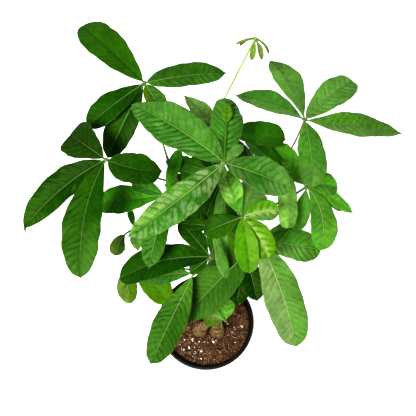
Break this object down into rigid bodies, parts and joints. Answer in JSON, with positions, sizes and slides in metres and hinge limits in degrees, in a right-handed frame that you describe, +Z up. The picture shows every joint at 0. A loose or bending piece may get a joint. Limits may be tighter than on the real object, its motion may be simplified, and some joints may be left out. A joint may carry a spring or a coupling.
{
  "type": "potted money tree",
  "caption": "Young money tree with twisted swollen stems and hand-shaped leaves on long stalks, standing in a round nursery pot filled with potting mix.",
  "frame": {"origin": "centre of the pot's flat underside", "axes": "+Z up the stems, -Y towards the side that the reference view shows"},
  "size_m": [0.4305, 0.383, 0.5432],
  "materials": {
    "pot": "satin",
    "mix": "matte",
    "bark": "matte",
    "leaf": "satin",
    "leaf_fresh": "satin"
  },
  "bodies": {
    "root": {"pot": "pot", "soil": "mix", "stem_front_left": "bark", "stem_front_right": "bark", "stem_back": "bark", "leaf_crown": "leaf", "leaf_fresh": "leaf_fresh", "leaf_far_right": "leaf", "leaf_right": "leaf", "leaf_far_left": "leaf", "leaf_left": "leaf", "leaf_inner_left": "leaf", "leaf_low_left": "leaf", "leaf_front": "leaf", "leaf_inner_front": "leaf", "leaf_centre": "leaf", "leaf_inner_back": "leaf", "leaf_folded": "leaf", "leaf_inner_right": "leaf", "leaf_front_right": "leaf", "leaf_sprout": "leaf_fresh", "leaf_lowest_left": "leaf_fresh", "leaf_outer_left": "leaf", "leaf_back": "leaf", "leaf_back_left": "leaf", "leaf_bud": "leaf_fresh"}
  },
  "joints": []
}
